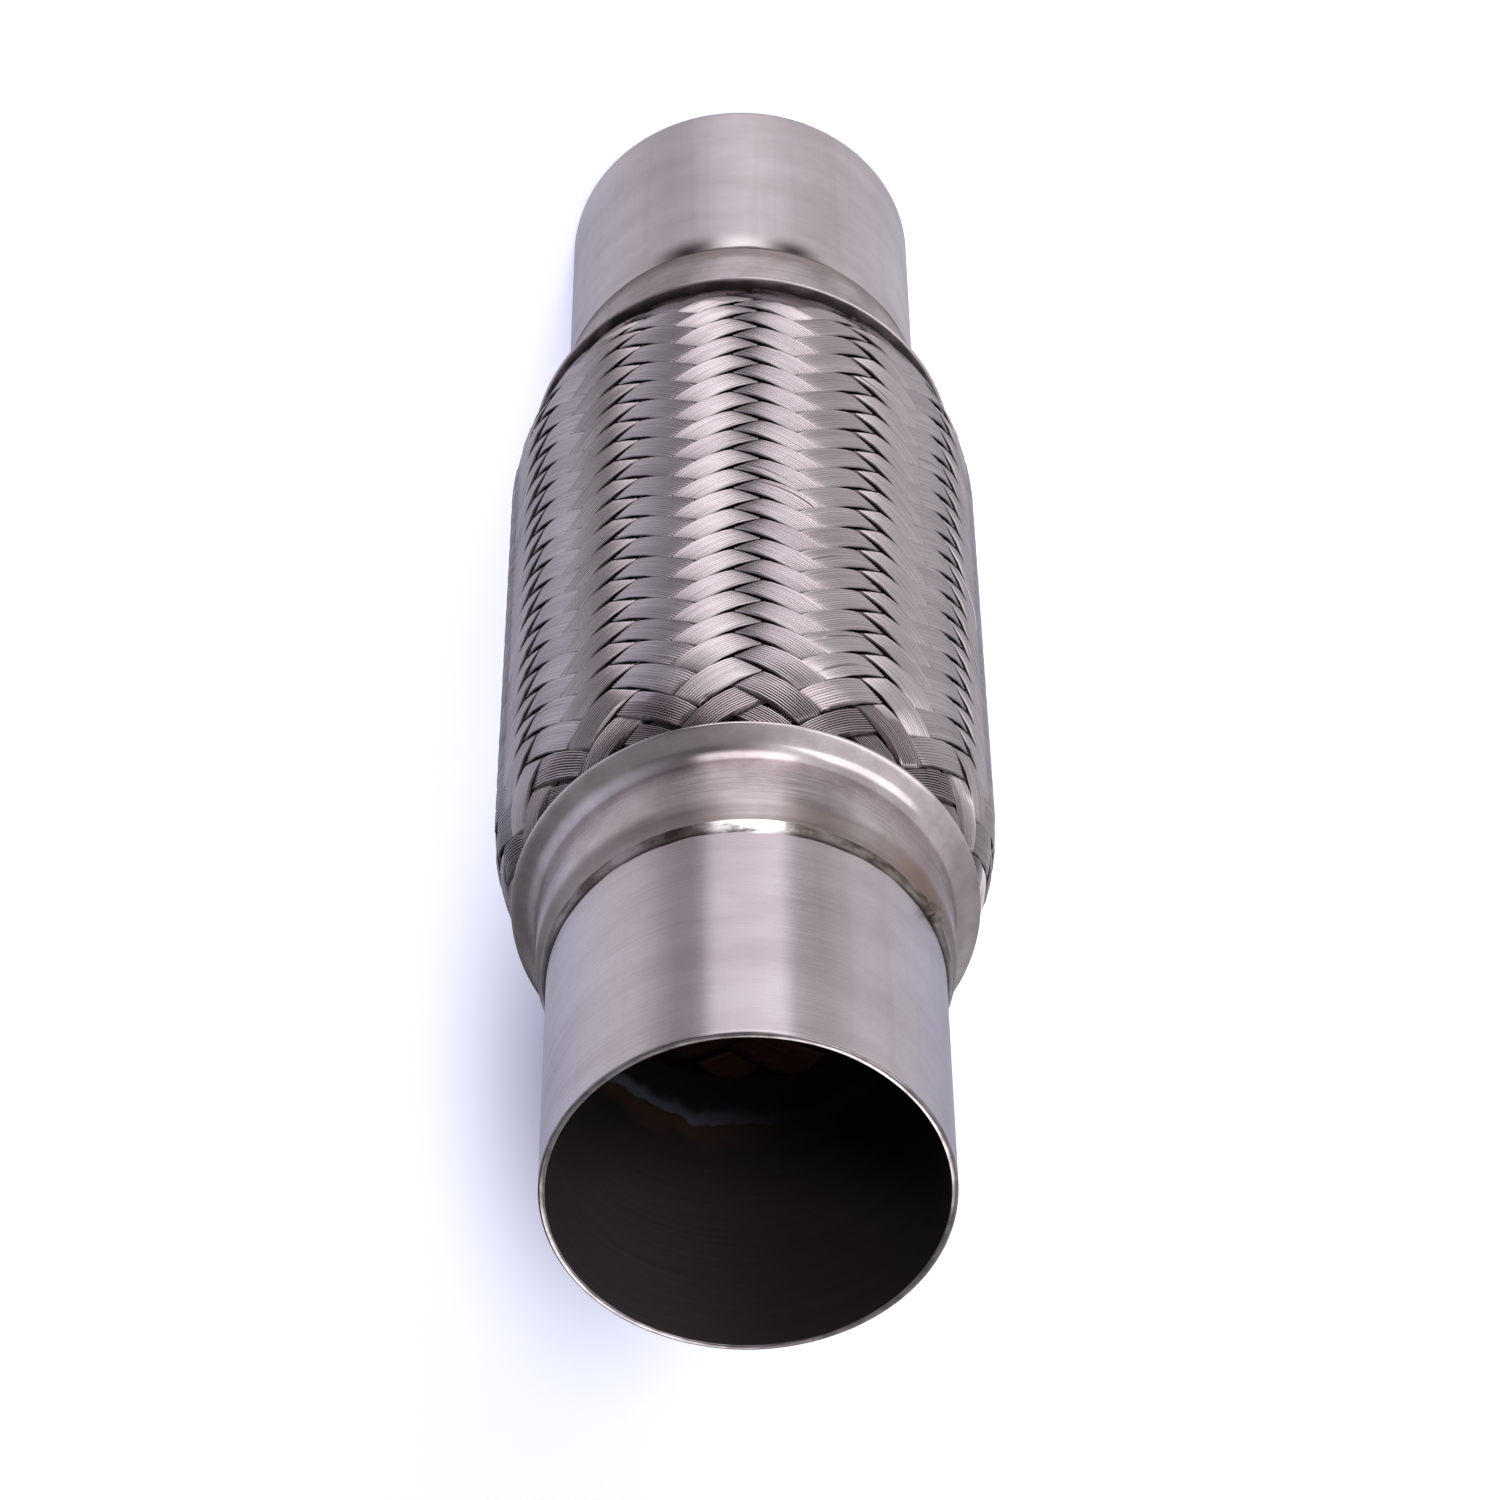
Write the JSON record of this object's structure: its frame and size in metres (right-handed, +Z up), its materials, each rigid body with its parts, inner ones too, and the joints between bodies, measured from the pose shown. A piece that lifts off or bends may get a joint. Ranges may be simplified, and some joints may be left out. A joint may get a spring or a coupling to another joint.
{
  "type": "exhaust flex pipe",
  "caption": "Flexible exhaust coupling: two plain slip-on tubes welded into flared caps, with a corrugated bellows between them in a woven steel braid.",
  "frame": {"origin": "centre of the lower mouth, where the pipe stands on its rim", "axes": "+Z up along the pipe from the lower mouth to the upper mouth; +X and +Y across it"},
  "size_m": [0.0762, 0.0762, 0.254],
  "materials": {
    "tube_steel": "brushed stainless tube, fine marks around the pipe",
    "cap_steel": "pressed stainless sheet, polished by the forming tool",
    "weld_bead": "rippled bead with heat tint",
    "bellows_steel": "bright formed stainless sheet",
    "braid_wire": "drawn stainless wire in flat strands",
    "liner_wire": "woven wire, browned"
  },
  "bodies": {
    "root": {"lower_tube": "tube_steel", "upper_tube": "tube_steel", "lower_cap": "cap_steel", "upper_cap": "cap_steel", "lower_weld": "weld_bead", "upper_weld": "weld_bead", "bellows": "bellows_steel", "outer_braid": "braid_wire", "inner_braid": "liner_wire", "lower_liner_ring": "bellows_steel", "upper_liner_ring": "bellows_steel"}
  },
  "joints": []
}
